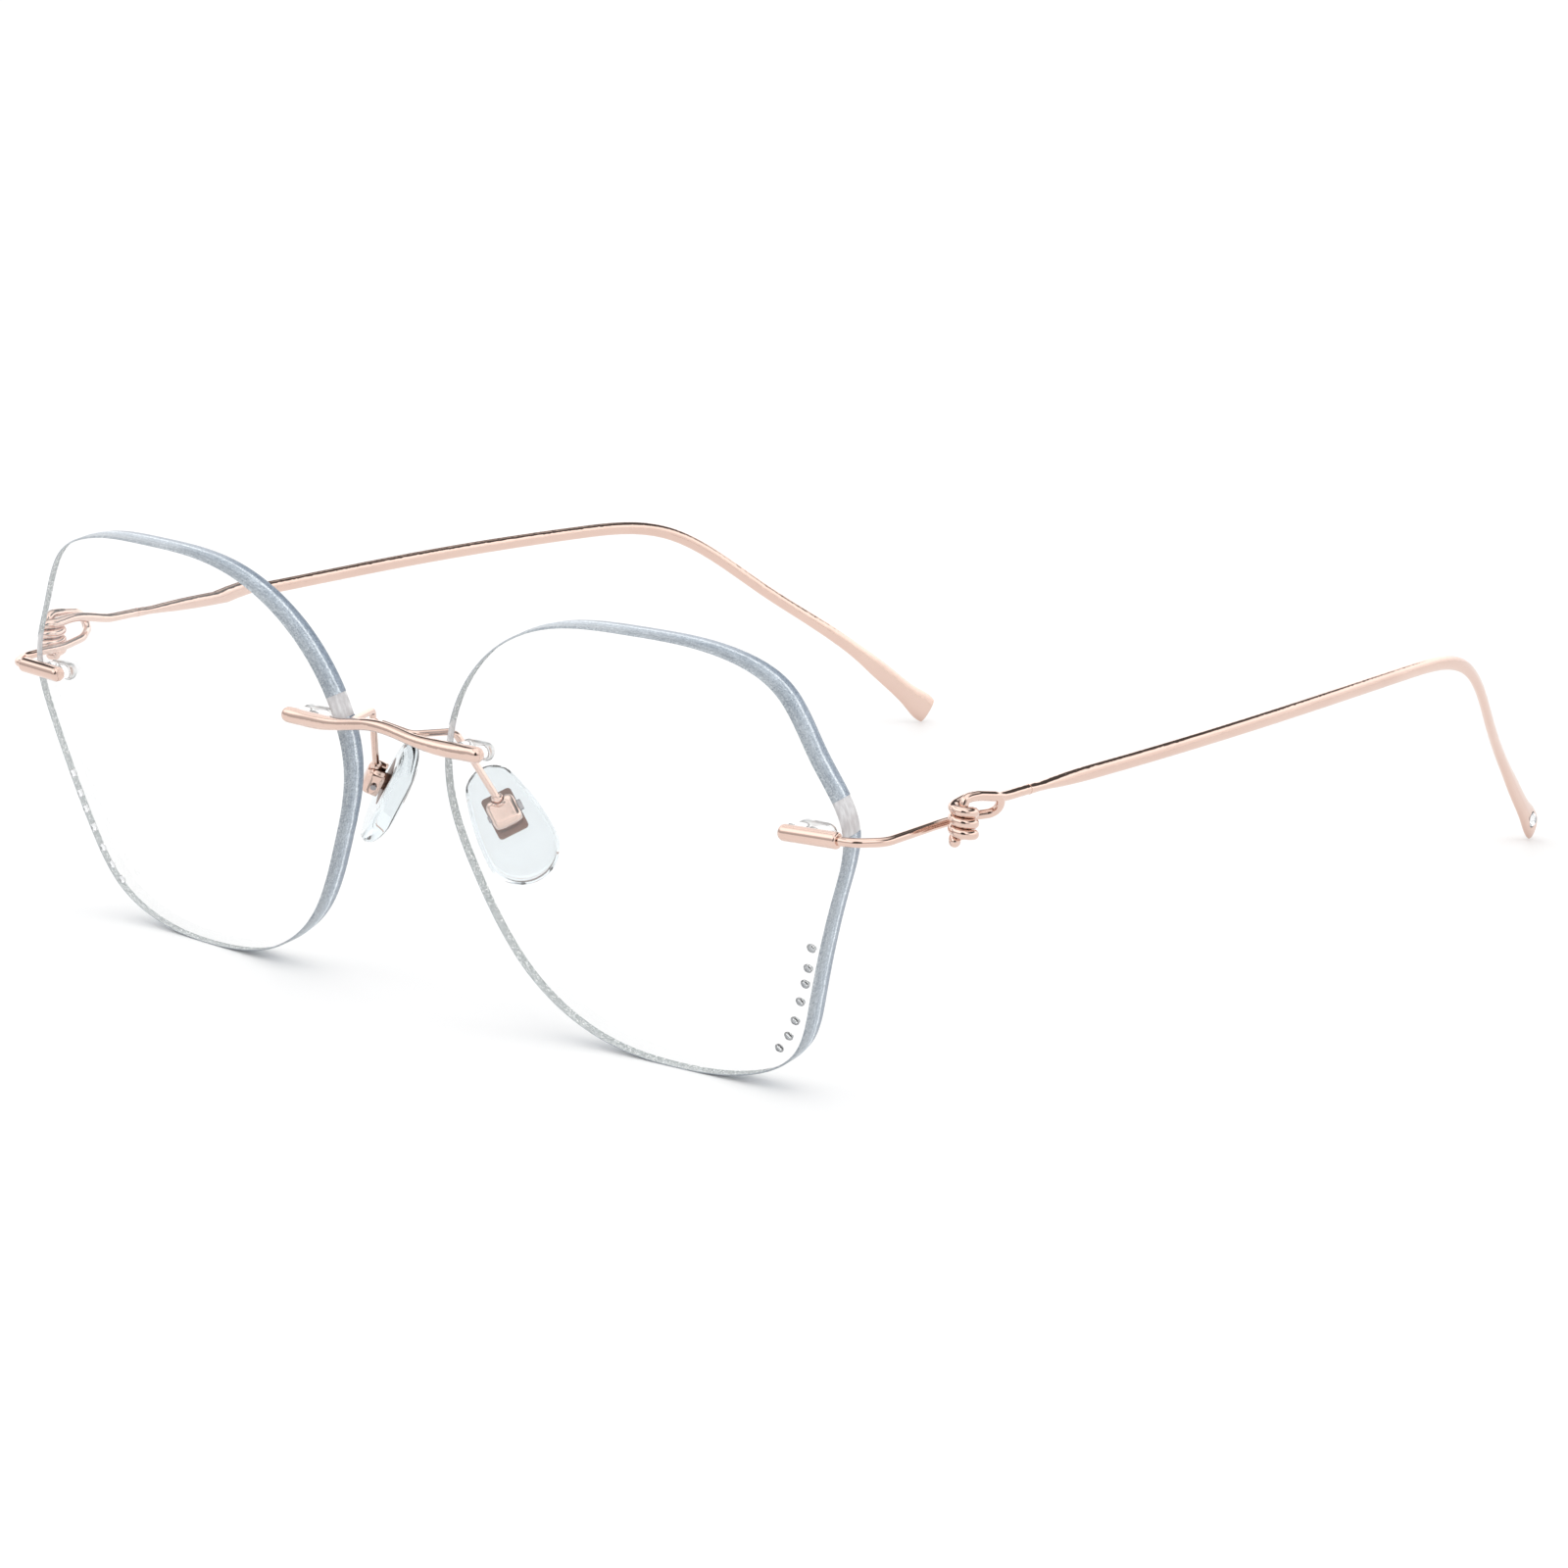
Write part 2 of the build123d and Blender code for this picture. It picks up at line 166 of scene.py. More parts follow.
def new_material(name):
    """A material with an empty tree apart from its output. Returns both."""
    material = bpy.data.materials.new(name)
    material.use_nodes = True
    tree = material.node_tree
    tree.nodes.clear()
    tree.nodes.new("ShaderNodeOutputMaterial")
    return material, tree


def add(tree, kind, **values):
    """A node, with its sockets or its own settings given by name."""
    node = tree.nodes.new(kind)
    for name, value in values.items():
        socket = node.inputs.get(name.replace("_", " "))
        if socket is not None:
            socket.default_value = value
        else:
            setattr(node, name, value)
    return node


def link(tree, out, into):
    tree.links.new(out, into)


def surface(tree, shader):
    out = next(n for n in tree.nodes if n.type == "OUTPUT_MATERIAL")
    link(tree, shader, out.inputs["Surface"])


def object_coords(tree):
    return tree.nodes.new("ShaderNodeTexCoord").outputs["Object"]


def noise(tree, scale, detail=3.0, rough=0.5):
    """Noise over the object's own metres, so that scale is in cells per metre."""
    node = add(tree, "ShaderNodeTexNoise", Scale=scale, Detail=detail, Roughness=rough)
    link(tree, object_coords(tree), node.inputs["Vector"])
    return node.outputs["Fac"]


def cells(tree, scale):
    node = add(tree, "ShaderNodeTexVoronoi", Scale=scale)
    link(tree, object_coords(tree), node.inputs["Vector"])
    return node


def streaks(tree, length, width):
    """Noise drawn out along the lens edge, from the run and the width that its points carry."""
    place = tree.nodes.new("ShaderNodeCombineXYZ")
    for attribute, socket in (("along", "X"), ("across", "Y")):
        carried = add(tree, "ShaderNodeAttribute", attribute_name=attribute)
        link(tree, carried.outputs["Fac"], place.inputs[socket])
    drawn = add(tree, "ShaderNodeVectorMath", operation="MULTIPLY")
    link(tree, place.outputs["Vector"], drawn.inputs[0])
    drawn.inputs[1].default_value = (1 / length, LENS_THICKNESS / width, 1.0)
    node = add(tree, "ShaderNodeTexNoise", Scale=1.0, Detail=3.0, Roughness=0.6)
    link(tree, drawn.outputs["Vector"], node.inputs["Vector"])
    return node.outputs["Fac"]


def multiplied(tree, first, second):
    node = add(tree, "ShaderNodeMixRGB", blend_type="MULTIPLY", Fac=1.0)
    link(tree, first, node.inputs["Color1"])
    link(tree, second, node.inputs["Color2"])
    return node.outputs["Color"]


def ramp(tree, source, stops):
    """Colour ramp. Stops are (place, colour)."""
    node = tree.nodes.new("ShaderNodeValToRGB")
    points = node.color_ramp.elements
    while len(points) < len(stops):
        points.new(0.5)
    for point, (place, colour) in zip(points, stops):
        point.position = place
        point.color = (*colour, 1.0)
    link(tree, source, node.inputs["Fac"])
    return node.outputs["Color"]


def spread(tree, source, low, high):
    """Map a value from 0..1 to low..high."""
    node = add(tree, "ShaderNodeMapRange", To_Min=low, To_Max=high)
    link(tree, source, node.inputs["Value"])
    return node.outputs["Result"]


def bump(tree, height, strength, distance):
    node = add(tree, "ShaderNodeBump", Strength=strength, Distance=distance)
    link(tree, height, node.inputs["Height"])
    return node.outputs["Normal"]


# ---------------------------------------------------------------- materials

def plated(name, light, dark, rough_low, rough_high):
    """Polished plating: slow drifts of tone, rubbed patches and hair-fine scratches."""
    material, tree = new_material(name)
    shader = add(tree, "ShaderNodeBsdfPrincipled", Metallic=1.0)
    link(tree, ramp(tree, noise(tree, TONE_NOISE), [(0.3, dark), (0.7, light)]), shader.inputs["Base Color"])
    rubbed = spread(tree, noise(tree, RUBBED_NOISE, 5.0), rough_low, rough_high)
    link(tree, rubbed, shader.inputs["Roughness"])
    link(tree, bump(tree, noise(tree, SCRATCH_NOISE, 2.0), 0.012, 0.02 * MM), shader.inputs["Normal"])
    surface(tree, shader.outputs["BSDF"])
    return material


def clear(name, ior, tint, rough_low, rough_high, shade):
    """Clear plastic or glass that lets lamps through, slightly uneven in its polish."""
    material, tree = new_material(name)
    shader = add(tree, "ShaderNodeBsdfPrincipled", IOR=ior)
    shader.inputs["Transmission Weight"].default_value = 1.0
    shader.inputs["Base Color"].default_value = (*tint, 1.0)
    link(tree, spread(tree, noise(tree, POLISH_NOISE), rough_low, rough_high), shader.inputs["Roughness"])
    through = add(tree, "ShaderNodeBsdfTransparent")
    through.inputs["Color"].default_value = (*shade, 1.0)
    mix = tree.nodes.new("ShaderNodeMixShader")
    path = tree.nodes.new("ShaderNodeLightPath")
    either = add(tree, "ShaderNodeMath", operation="MAXIMUM")
    link(tree, path.outputs["Is Shadow Ray"], either.inputs[0])
    link(tree, path.outputs["Is Diffuse Ray"], either.inputs[1])
    link(tree, either.outputs["Value"], mix.inputs["Fac"])
    link(tree, shader.outputs["BSDF"], mix.inputs[1])
    link(tree, through.outputs["BSDF"], mix.inputs[2])
    surface(tree, mix.outputs["Shader"])
    return material


def glitter(name, flecks, fleck_size, lean, coat, bands_and_painted_highlight=None):
    """Paint full of flecks, each with its own tone and step. Bands across the edge, which carry a painted
    highlight line and painted shade, and streaks tint it.
    """
    material, tree = new_material(name)
    shader = add(tree, "ShaderNodeBsdfPrincipled", Roughness=0.4)
    shader.inputs["Coat Weight"].default_value = coat
    shader.inputs["Coat Roughness"].default_value = 0.08
    fine = cells(tree, 1 / fleck_size)
    tone = tree.nodes.new("ShaderNodeSeparateColor")
    link(tree, fine.outputs["Color"], tone.inputs["Color"])
    colour = ramp(tree, tone.outputs["Red"], flecks)
    if bands_and_painted_highlight:
        across = add(tree, "ShaderNodeAttribute", attribute_name="across")
        waver = add(tree, "ShaderNodeMath", operation="ADD")
        link(tree, across.outputs["Fac"], waver.inputs[0])
        aside = spread(tree, noise(tree, WAVER_NOISE, 4.0, 0.65), -BAND_WAVER, BAND_WAVER)
        link(tree, aside, waver.inputs[1])
        colour = multiplied(tree, colour, ramp(tree, waver.outputs["Value"], bands_and_painted_highlight))
        drawn = ramp(tree, streaks(tree, STREAK_LENGTH, STREAK_WIDTH), STREAK_TONES)
        colour = multiplied(tree, colour, drawn)
    link(tree, colour, shader.inputs["Base Color"])
    link(tree, bump(tree, tone.outputs["Green"], lean, fleck_size / 3), shader.inputs["Normal"])
    surface(tree, shader.outputs["BSDF"])
    return material


def ground_edge(name):
    """Bare ground plastic: pale and misty, with faint marks drawn out down the edge by the wheel."""
    material, tree = new_material(name)
    shader = add(tree, "ShaderNodeBsdfPrincipled")
    shader.inputs["Coat Weight"].default_value = 0.7
    shader.inputs["Coat Roughness"].default_value = 0.12
    drawn = add(tree, "ShaderNodeMapping", vector_type="POINT")
    drawn.inputs["Scale"].default_value = (1.0, 1.0, 0.22)
    link(tree, object_coords(tree), drawn.inputs["Vector"])
    marks = add(tree, "ShaderNodeTexNoise", Scale=WHEEL_NOISE, Detail=4.0)
    link(tree, drawn.outputs["Vector"], marks.inputs["Vector"])
    tones = [(0.3, (0.47, 0.455, 0.465)), (0.5, (0.53, 0.52, 0.53)), (0.72, (0.68, 0.68, 0.69))]
    link(tree, ramp(tree, marks.outputs["Fac"], tones), shader.inputs["Base Color"])
    link(tree, spread(tree, marks.outputs["Fac"], 0.25, 0.4), shader.inputs["Roughness"])
    surface(tree, shader.outputs["BSDF"])
    return material


rose_gold = plated("rose_gold", (0.765, 0.575, 0.495), (0.72, 0.53, 0.455), 0.05, 0.1)
insert_metal = plated("insert_metal", (0.22, 0.125, 0.095), (0.15, 0.09, 0.07), 0.25, 0.4)
screw_metal = plated("screw_metal", (0.4, 0.385, 0.395), (0.28, 0.27, 0.28), 0.15, 0.3)
lens_glass = clear("lens_glass", 1.5, (1.0, 1.0, 1.0), 0.0, 0.004, (0.985, 0.99, 0.99))
pad_plastic = clear("pad_plastic", 1.38, (0.76, 0.815, 0.84), 0.0, 0.05, (0.93, 0.94, 0.94))
sleeve_plastic = clear("sleeve_plastic", 1.46, (0.9, 0.91, 0.91), 0.24, 0.4, (0.92, 0.93, 0.93))
stone_glass = clear("stone_glass", 1.5, (0.9, 0.91, 0.92), 0.03, 0.1, (0.85, 0.86, 0.87))
foil = plated("foil", (0.62, 0.63, 0.64), (0.46, 0.47, 0.48), 0.3, 0.5)
silver_glitter = glitter(
    "silver_glitter",
    [
        (0.0, (0.22, 0.24, 0.245)), (0.35, (0.34, 0.37, 0.375)), (0.8, (0.5, 0.54, 0.545)),
        (0.94, (1.0, 1.0, 0.99)),
    ],
    0.13 * MM, 0.5, 0.0,
)
blue_paint = glitter(
    "blue_paint",
    [
        (0.0, (0.5, 0.52, 0.55)), (0.4, (0.7, 0.715, 0.73)), (0.85, (0.82, 0.83, 0.84)),
        (0.96, (1.0, 1.0, 1.0)),
    ],
    0.14 * MM, 0.3, 0.35,
    # Bands across the edge, front to back: a painted highlight line at 0.6 to 0.66 along the corner of wall
    # and rear bevel, then darker over the rear bevel, partly its own steel blue and partly painted shade.
    [
        (0.0, (0.5, 0.54, 0.57)), (0.1, (0.42, 0.46, 0.495)), (0.28, (0.45, 0.5, 0.545)),
        (0.45, (0.52, 0.585, 0.645)), (0.55, (0.54, 0.61, 0.68)), (0.6, (0.86, 0.93, 0.98)),
        (0.66, (0.86, 0.93, 0.98)), (0.71, (0.38, 0.45, 0.54)), (0.86, (0.29, 0.35, 0.43)),
        (1.0, (0.38, 0.44, 0.5)),
    ],
)
bare_edge = ground_edge("bare_edge")


# ---------------------------------------------------------------- mesh helpers

def to_object(mesh, name, materials, smooth=True):
    """A linked object from a bmesh, with its materials."""
    bmesh.ops.recalc_face_normals(mesh, faces=mesh.faces)
    for face in mesh.faces:
        face.smooth = smooth
    data = bpy.data.meshes.new(name)
    mesh.to_mesh(data)
    mesh.free()
    obj = bpy.data.objects.new(name, data)
    bpy.context.scene.collection.objects.link(obj)
    for material in materials:
        data.materials.append(material)
    return obj


def piece(obj, body, slot, *stands_for):
    """Hand a finished object to the frame: what it rides on, its slot (not used) and what it stands for."""
    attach(obj, body)
    if stands_for:
        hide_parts(*stands_for)
    return obj


def mirrored(points, side):
    """The same points on the other side of the glasses."""
    return [Vector((p.x * SIDES[side], p.y, p.z)) for p in points]


def sheet_of_rings(mesh, rings, closed=True):
    """Quads between rings of points, where a ring of one point closes the end. Returns (rings, strips)."""
    made = [[mesh.verts.new(p) for p in ring] for ring in rings]
    strips = []
    for first, second in zip(made, made[1:]):
        count = max(len(first), len(second))
        strip = []
        for n in range(count if closed else count - 1):
            after = (n + 1) % count
            corners = [first[n % len(first)], first[after % len(first)]]
            corners += [second[after % len(second)], second[n % len(second)]]
            unique = list(dict.fromkeys(corners))
            strip.append(mesh.faces.new(unique))
        strips.append(strip)
    return made, strips


def smooth_by_angle(obj, degrees):
    """Smooth faces, with a hard line wherever two of them meet at more than an angle."""
    mesh = bmesh.new()
    mesh.from_mesh(obj.data)
    for edge in mesh.edges:
        edge.smooth = len(edge.link_faces) == 2 and edge.calc_face_angle() < math.radians(degrees)
    for face in mesh.faces:
        face.smooth = True
    mesh.to_mesh(obj.data)
    mesh.free()


def angles_round(steps, start=0.0):
    return [start + 2 * math.pi * n / steps for n in range(steps)]


def rod(name, start, end, radius, steps=40):
    """Plain round rod, for cutting holes."""
    axis = (end - start).normalized()
    turn = axis.to_track_quat("Z", "Y").to_matrix()
    circle = [Vector((math.cos(a), math.sin(a), 0)) * radius for a in angles_round(steps)]
    rings = [[start], [start + turn @ c for c in circle], [end + turn @ c for c in circle], [end]]
    mesh = bmesh.new()
    sheet_of_rings(mesh, rings)
    return to_object(mesh, name, [])


def cut(obj, tool):
    """Take a tool's volume out of an object, and throw the tool away."""
    modifier = obj.modifiers.new("cut", "BOOLEAN")
    modifier.operation = "DIFFERENCE"
    modifier.solver = "EXACT"
    modifier.object = tool
    graph = bpy.context.evaluated_depsgraph_get()
    data = bpy.data.meshes.new_from_object(obj.evaluated_get(graph))
    obj.modifiers.clear()
    obj.data = data
    bpy.data.objects.remove(tool)


# ---------------------------------------------------------------- lenses

def lens_axes():
    """Matrix from lens coordinates (outward, up, ahead) to the row frame, for the left lens."""
    turn = Matrix.Rotation(LENS_WRAP, 3, "Z")
    outward = turn @ Vector((1, 0, 0))
    ahead = turn @ Matrix.Rotation(LENS_TILT, 3, "X") @ Vector((0, -1, 0))
    up = ahead.cross(outward)
    axes = Matrix((outward, up, ahead)).transposed().to_4x4()
    return Matrix.Translation(LENS_CENTRE) @ axes


LENS = lens_axes()


def lens_point(outward, up, depth):
    """Point under the lens front, in the row frame. Depth is towards the centre of curvature."""
    ahead = math.sqrt((LENS_RADIUS - depth) ** 2 - outward**2 - up**2) - LENS_RADIUS
    return LENS @ Vector((outward, up, ahead))


def closed_spline(corners, steps):
    """Evenly spaced points on the smooth closed cubic through the corners, run at a speed by their spacing."""
    points = np.array(corners, float)
    gaps = np.linalg.norm(np.roll(points, -1, axis=0) - points, axis=1)
    count = len(points)
    system, right = np.zeros((count, count)), np.zeros((count, 2))
    for n in range(count):
        before, after, following = gaps[n - 1], gaps[n], (n + 1) % count
        system[n, n - 1] += after
        system[n, n] += 2 * (before + after)
        system[n, following] += before
        right[n] = 3 * after * (points[n] - points[n - 1]) / before
        right[n] += 3 * before * (points[following] - points[n]) / after
    slopes = np.linalg.solve(system, right)
    t = np.linspace(0, 1, SPLINE_STEPS, endpoint=False)[:, None]
    curve = []
    for n in range(count):
        following = (n + 1) % count
        curve.append(
            (2 * t**3 - 3 * t**2 + 1) * points[n] + (t**3 - 2 * t**2 + t) * gaps[n] * slopes[n]
            + (3 * t**2 - 2 * t**3) * points[following] + (t**3 - t**2) * gaps[n] * slopes[following]
        )
    curve = np.vstack([*curve, points[:1]])
    along = np.concatenate([[0], np.cumsum(np.linalg.norm(np.diff(curve, axis=0), axis=1))])
    at = np.linspace(0, along[-1], steps, endpoint=False)
    return np.stack([np.interp(at, along, curve[:, k]) for k in (0, 1)], axis=1)


def inset(outline, distance):
    """The outline moved inward."""
    ahead = np.roll(outline, -1, axis=0) - np.roll(outline, 1, axis=0)
    inward = np.stack([-ahead[:, 1], ahead[:, 0]], axis=1)
    inward /= np.linalg.norm(inward, axis=1)[:, None]
    return outline + inward * distance


OUTLINE = closed_spline(LENS_OUTLINE, LENS_STEPS) * MM


def rounded(corners, reach, steps):
    """The open line through the corners, with each inner corner eased over its reach either way."""
    line = [corners[0]]
    for before, corner, after, ease in zip(corners, corners[1:], corners[2:], reach):
        start = corner + (before - corner).normalized() * ease
        end = corner + (after - corner).normalized() * ease
        for n in range(steps + 1):
            t = n / steps
            line.append(start * (1 - t) ** 2 + corner * 2 * t * (1 - t) + end * t * t)
    return [*line, corners[-1]]


def edge_profile(skin):
    """(inset, depth) across the edge, from the lens front to its back, under a skin of paint."""
    wide, deep = FRONT_BEVEL
    back_wide, back_deep = REAR_BEVEL
    corners = [
        Vector((wide + 2 * skin, skin)), Vector((wide + skin, skin)), Vector((skin, deep + skin)),
        Vector((skin, LENS_THICKNESS - back_deep)), Vector((back_wide + skin, LENS_THICKNESS - skin)),
        Vector((back_wide + 2 * skin, LENS_THICKNESS - skin)),
    ]
    if skin == 0:
        corners = corners[1:-1]
        return rounded(corners, [FRONT_EASE, REAR_EASE], CORNER_STEPS)
    return rounded(corners, [skin / 3, FRONT_EASE, REAR_EASE, skin / 3], CORNER_STEPS)


def in_gap(place):
    """True where the edge is bare of paint."""
    low, high = TEMPORAL_GAP if place[0] > 0 else NASAL_GAP
    return low < place[1] < high


def lens(side):
    """Clear lens with its silver ground coat on the wall, drilled for the sleeves and the stones."""
    profile = edge_profile(PAINT_THICKNESS)
    flat = inset(OUTLINE, profile[0][0])
    shares = [n / LENS_RINGS for n in range(1, LENS_RINGS)]
    rings = [[lens_point(0, 0, 0)]]
    rings += [[lens_point(*(p * share), 0) for p in flat] for share in shares]
    for wide, deep in profile:
        rings.append([lens_point(*p, deep) for p in inset(OUTLINE, wide)])
    rings += [[lens_point(*(p * share), LENS_THICKNESS) for p in flat] for share in reversed(shares)]
    rings.append([lens_point(0, 0, LENS_THICKNESS)])
    mesh = bmesh.new()
    _, strips = sheet_of_rings(mesh, [mirrored(ring, side) for ring in rings])
    looks = [lens_glass, silver_glitter, bare_edge]
    for strip in strips[LENS_RINGS:LENS_RINGS + len(profile) - 1]:
        for face, place in zip(strip, OUTLINE):
            face.material_index = looks.index(bare_edge if in_gap(place) else silver_glitter)
    made = to_object(mesh, f"lens_body_{side}", looks)
    for tool in lens_tools(side):
        cut(made, tool)
    smooth_by_angle(made, HARD_EDGE)
    return piece(made, "front", "lens", f"lens_{side}")


def lens_tools(side):
    """Rods that drill one lens: two for each sleeve and a shallow one for each stone."""
    tools = []
    for where in ("nasal", "temporal"):
        low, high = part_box(f"sleeve_{where}_{side}")
        middle = (low + high) / 2
        half = ((high.x - low.x) - (high.z - low.z)) / 2
        for x in (middle.x - half, middle.x + half):
            start = Vector((x, low.y - DRILL_OVERSHOOT, middle.z))
            end = Vector((x, high.y + DRILL_OVERSHOOT, middle.z))
            tools.append(rod("drill", start, end, SLEEVE_HOLE))
    for centre, normal in stone_seats(side):
        tools.append(rod("seat", centre - normal * SEAT_DEPTH, centre + normal * MM, SEAT_RADIUS, 32))
    return tools


def stone_seats(side):
    """(place on the lens front, outward normal) of each small stone, from the CAD stones."""
    mesh = bmesh.new()
    mesh.from_mesh(nodes[f"rhinestones_{side}"].data)
    bmesh.ops.remove_doubles(mesh, verts=mesh.verts, dist=1e-7)
    islands, seen = [], set()
    for vert in mesh.verts:
        if vert in seen:
            continue
        todo, island = [vert], []
        seen.add(vert)
        while todo:
            here = todo.pop()
            island.append(here.co.copy())
            for edge in here.link_edges:
                other = edge.other_vert(here)
                if other not in seen:
                    seen.add(other)
                    todo.append(other)
        islands.append(island)
    mesh.free()
    curve_centre = mirrored([LENS @ Vector((0, 0, -LENS_RADIUS))], side)[0]
    seats = []
    for island in islands:
        low = Vector(map(min, *island))
        high = Vector(map(max, *island))
        normal = ((low + high) / 2 - curve_centre).normalized()
        seats.append((curve_centre + normal * LENS_RADIUS, normal))
    return seats


def paint(side):
    """Pale blue top coat over the wall and both bevels, in two stretches between the bare ones."""
    outer = edge_profile(0.0)
    inner = edge_profile(PAINT_DEPTH)
    profile = [*outer, *reversed(inner), outer[0]]
    painted = [n for n in range(LENS_STEPS) if not in_gap(OUTLINE[n])]
    mesh = bmesh.new()
    across, along = (mesh.verts.layers.float.new(name) for name in ("across", "along"))
    step = np.linalg.norm(OUTLINE[1] - OUTLINE[0])
    for run in runs_round(painted, LENS_STEPS):
        places = [*run, (run[-1] + 1) % LENS_STEPS]
        rings = []
        for wide, deep in profile:
            moved = inset(OUTLINE, wide)
            rings.append(mirrored([lens_point(*moved[n], deep) for n in places], side))
        made, _ = sheet_of_rings(mesh, rings, closed=False)
        for ring, (_, deep) in zip(made, profile):
            for n, vert in enumerate(ring):
                vert[across] = deep / LENS_THICKNESS
                vert[along] = n * step
    bmesh.ops.remove_doubles(mesh, verts=mesh.verts, dist=1e-8)
    bmesh.ops.holes_fill(mesh, edges=[edge for edge in mesh.edges if edge.is_boundary])
    made = to_object(mesh, f"lens_paint_{side}", [blue_paint])
    smooth_by_angle(made, HARD_EDGE)
    return piece(made, "front", "lens")


def runs_round(numbers, count):
    """Unbroken runs of numbers, where the last of count comes before the first."""
    there = set(numbers)
    runs = []
    for start in sorted(n for n in there if (n - 1) % count not in there):
        run = [start]
        while (run[-1] + 1) % count in there:
            run.append((run[-1] + 1) % count)
        runs.append(run)
    return runs


# ---------------------------------------------------------------- stones

def cut_stone(crown, back, centre, normal, radius, height, depth, sides):
    """Brilliant-cut crown over a foil cone, each into its own mesh."""
    turn = normal.to_track_quat("Z", "Y").to_matrix()

    def ring(share, up, steps, start=0.0):
        return [
            centre + turn @ Vector((math.cos(a) * radius * share, math.sin(a) * radius * share, up))
            for a in angles_round(steps, start)
        ]

    half = math.pi / sides
    table = ring(0.52, height, sides)
    kite = ring(0.78, height * 0.62, sides, half)
    girdle = ring(0.97, height * 0.12, 2 * sides)
    table = [crown.verts.new(p) for p in table]
    kite = [crown.verts.new(p) for p in kite]
    girdle = [crown.verts.new(p) for p in girdle]
    base = [crown.verts.new(p) for p in ring(0.97, -depth * 0.1, 2 * sides)]
    crown.faces.new(table)
    for n in range(sides):
        after = (n + 1) % sides
        crown.faces.new((table[n], table[after], kite[n]))
        crown.faces.new((kite[n], girdle[2 * n + 1], girdle[2 * n]))
        crown.faces.new((kite[n], girdle[(2 * n + 2) % (2 * sides)], girdle[2 * n + 1]))
        crown.faces.new((kite[n - 1], table[n], kite[n], girdle[2 * n]))
    for n in range(2 * sides):
        after = (n + 1) % (2 * sides)
        crown.faces.new((girdle[n], girdle[after], base[after], base[n]))
    crown.faces.new(base)
    shell = [[centre + turn @ Vector((0, 0, -depth * 0.9))], ring(0.97, -depth * 0.15, 2 * sides)]
    shell += [ring(1.0, -depth * 0.1, 2 * sides), ring(1.0, height * 0.1, 2 * sides)]
    shell += [ring(1.03, height * 0.1, 2 * sides), ring(1.03, -depth * 0.2, 2 * sides)]
    shell.append([centre + turn @ Vector((0, 0, -depth))])
    sheet_of_rings(back, shell)


def small_stones(side):
    """The row of small stones down one lens, with their foil cups."""
    crown, back = bmesh.new(), bmesh.new()
    for centre, normal in stone_seats(side):
        cut_stone(crown, back, centre, normal, **SMALL_STONE)
    stones = to_object(crown, f"lens_stones_{side}", [stone_glass], smooth=False)
    cups = to_object(back, f"lens_stone_cups_{side}", [foil], smooth=False)
    piece(stones, "front", "crystal", f"rhinestones_{side}")
    piece(cups, "front", "crystal")


def tip_stone(side):
    """The larger stone in the outer face of a temple's flat end."""
    points = np.array([v.co for v in nodes[f"tip_crystal_{side}"].data.vertices])
    middle = (points.max(0) + points.min(0)) / 2
    normal = Vector(np.linalg.svd(points - points.mean(0))[2][2])
    if normal.x * SIDES[side] < 0:
        normal.negate()
    centre = Vector(middle) - normal * (TIP_STONE["height"] - TIP_STONE["depth"]) / 2
    crown, back = bmesh.new(), bmesh.new()
    cut_stone(crown, back, centre, normal, **TIP_STONE)
    stone = to_object(crown, f"tip_stone_{side}", [stone_glass], smooth=False)
    cup = to_object(back, f"tip_stone_cup_{side}", [foil], smooth=False)
    piece(stone, f"temple_{side}", "crystal", f"tip_crystal_{side}")
    piece(cup, f"temple_{side}", "crystal")


# ---------------------------------------------------------------- nose pads

def egg(steps):
    """Egg outline about its middle: round ends joined by two long arcs, evenly stepped by angle."""
    low, top = PAD_WIDTH / 2, PAD_TOP_RADIUS
    height = PAD_LENGTH - low - top
    side = (low + top + height**2 / (low - top)) / 2
    tilt = math.atan2(height, side - low)
    middle = low - PAD_LENGTH / 2
    points = []
    for n in range(steps // 4 + 1):
        a = -math.pi / 2 + math.pi / 2 * n / (steps // 4)
        points.append(Vector((low * math.cos(a), middle + low * math.sin(a))))
    for n in range(1, steps // 6 + 1):
        a = tilt * n / (steps // 6)
        points.append(Vector((low - side + side * math.cos(a), middle + side * math.sin(a))))
    for n in range(1, steps // 6 + 1):
        a = tilt + (math.pi / 2 - tilt) * n / (steps // 6)
        points.append(Vector((top * math.cos(a), middle + height + top * math.sin(a))))
    left = [Vector((-p.x, p.y)) for p in reversed(points[1:-1])]
    return points + left


def pad_axes():
    """Matrix from pad coordinates (sideways, up, towards the front) to the row frame, for the left pad."""
    front = PAD_FRONT.normalized()
    up = (-PAD_DOWN + front * PAD_DOWN.dot(front)).normalized()
    axes = Matrix((up.cross(front), up, front)).transposed().to_4x4()
    return Matrix.Translation(PAD_CENTRE) @ axes


PAD = pad_axes()


def nose_pad(side):
    """Clear pad: flat in front round its insert, rolled at the edge and crowned behind."""
    outline = egg(PAD_STEPS)
    rings = [[PAD @ Vector((0, 0, PAD_FRONT_FACE))]]
    for share, deep in PAD_PROFILE:
        ahead = PAD_FRONT_FACE - deep * PAD_THICKNESS
        rings.append([PAD @ Vector((p.x * share, p.y * share, ahead)) for p in outline])
    rings.append([PAD @ Vector((0, 0, PAD_FRONT_FACE - PAD_THICKNESS))])
    mesh = bmesh.new()
    sheet_of_rings(mesh, [mirrored(ring, side) for ring in rings])
    made = to_object(mesh, f"nose_pad_body_{side}", [pad_plastic])
    made.modifiers.new("round", "SUBSURF").render_levels = 1
    return piece(made, f"nose_pad_{side}", "pad_silicone", f"nose_pad_{side}")


